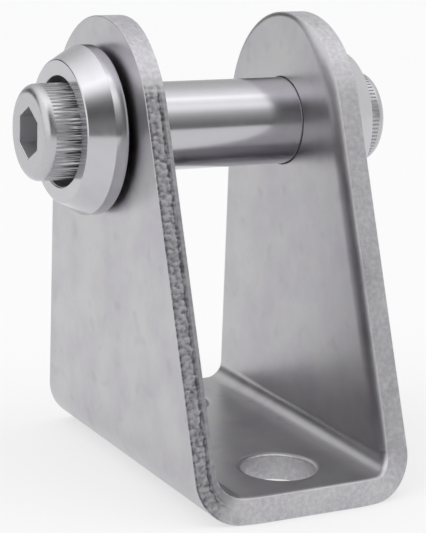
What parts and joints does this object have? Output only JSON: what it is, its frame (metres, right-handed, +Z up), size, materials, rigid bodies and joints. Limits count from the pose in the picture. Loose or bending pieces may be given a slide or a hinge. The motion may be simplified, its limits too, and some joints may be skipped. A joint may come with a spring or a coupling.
{
  "type": "cylinder rear clevis mount",
  "caption": "Folded stainless rear clevis foot for a small air cylinder, with a turning cross pin held by bevelled washers and knurled socket screws.",
  "frame": {"origin": "centre of the base's underside, midway between the two fixing holes and between the ears", "axes": "+Z up from the base to the pin, X along the pin, -Y towards the side where the ears' edges slope back"},
  "size_m": [0.0342, 0.032, 0.04],
  "materials": {
    "blasted_stainless_sheet": "tumbled satin sheet, sheared edges",
    "ground_stainless_pin": "ground and polished",
    "turned_stainless_washer": "fine turned",
    "stainless_cap_screw": "cold headed, knurled"
  },
  "bodies": {
    "bracket": {"clevis_bracket": "blasted_stainless_sheet"},
    "pin_set": {"clevis_pin": "ground_stainless_pin", "left_retaining_washer": "turned_stainless_washer", "left_cap_screw": "stainless_cap_screw", "right_retaining_washer": "turned_stainless_washer", "right_cap_screw": "stainless_cap_screw"}
  },
  "joints": [
    {"name": "pin_turn", "type": "hinge", "parent": "bracket", "child": "pin_set", "pos_m": [0, 0.006, 0.03], "axis": [1, 0, 0], "continuous": true}
  ]
}
